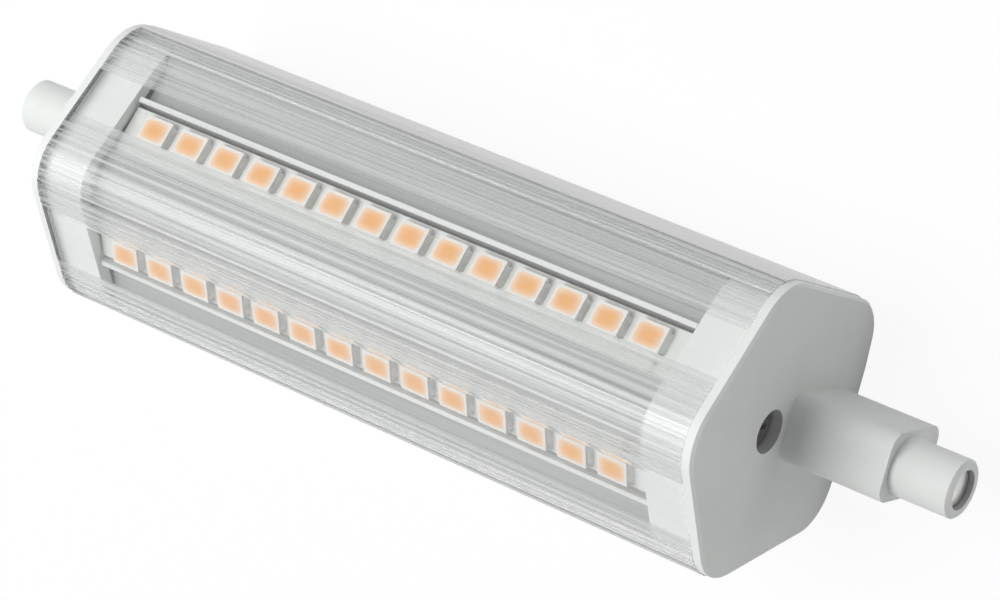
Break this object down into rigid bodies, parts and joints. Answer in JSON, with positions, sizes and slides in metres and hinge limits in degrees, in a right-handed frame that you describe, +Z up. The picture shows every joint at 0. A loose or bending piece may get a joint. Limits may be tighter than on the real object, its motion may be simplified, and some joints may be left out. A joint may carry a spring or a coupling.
{
  "type": "linear led bulb",
  "caption": "Double-ended linear LED lamp: faceted housing, clear fluted cover over rows of LEDs on an aluminium sink, and a moulded cap with a recessed contact at each end.",
  "frame": {"origin": "on the resting plane of the flat back, under the middle of the lamp", "axes": "+X along the contact axis, +Y across the lamp towards the upper row in the picture, +Z up from the flat back to the ridge of the clear cover"},
  "size_m": [0.118, 0.03, 0.0311],
  "materials": {
    "clear_cover": "clear, glossy",
    "housing_white": "satin white",
    "cap_white": "matte white",
    "sink_aluminium": "extruded, satin",
    "board_white": "white solder mask",
    "led_body": "white moulding",
    "phosphor": "warm yellow fill",
    "solder": "dull silver",
    "contact_metal": "bright nickel",
    "screw_steel": "dark plated",
    "wire_sleeve": "white sleeve",
    "driver_laminate": "pale laminate",
    "film": "thin film",
    "capacitor_sleeve": "dark sleeve",
    "capacitor_case": "moulded case",
    "ferrite": "matte ferrite",
    "winding": "taped winding",
    "black_moulding": "matte black",
    "disc_lacquer": "lacquer",
    "resistor_body": "lacquer"
  },
  "bodies": {
    "root": {"cap_screws": "screw_steel", "capacitor": "capacitor_sleeve", "contact_left": "contact_metal", "contact_right": "contact_metal", "control_chip": "black_moulding", "driver_board": "driver_laminate", "end_cap_left": "cap_white", "end_cap_right": "cap_white", "film_capacitor": "capacitor_case", "fuse_resistor": "resistor_body", "heat_sink": "sink_aluminium", "housing": "housing_white", "insulating_film": "film", "led_board_lower": "board_white", "led_board_upper": "board_white", "led_lower_01": "led_body", "led_lower_02": "led_body", "led_lower_03": "led_body", "led_lower_04": "led_body", "led_lower_05": "led_body", "led_lower_06": "led_body", "led_lower_07": "led_body", "led_lower_08": "led_body", "led_lower_09": "led_body", "led_lower_10": "led_body", "led_lower_11": "led_body", "led_lower_12": "led_body", "led_lower_13": "led_body", "led_lower_14": "led_body", "led_upper_01": "led_body", "led_upper_02": "led_body", "led_upper_03": "led_body", "led_upper_04": "led_body", "led_upper_05": "led_body", "led_upper_06": "led_body", "led_upper_07": "led_body", "led_upper_08": "led_body", "led_upper_09": "led_body", "led_upper_10": "led_body", "led_upper_11": "led_body", "led_upper_12": "led_body", "led_upper_13": "led_body", "led_upper_14": "led_body", "led_wire_lower": "solder", "led_wire_upper": "solder", "light_cover": "clear_cover", "mains_wire_left": "wire_sleeve", "mains_wire_right": "wire_sleeve", "phosphor_lower": "phosphor", "phosphor_upper": "phosphor", "rectifier": "black_moulding", "solder_lower": "solder", "solder_upper": "solder", "transformer_coil": "winding", "transformer_core": "ferrite", "varistor": "disc_lacquer"}
  },
  "joints": []
}
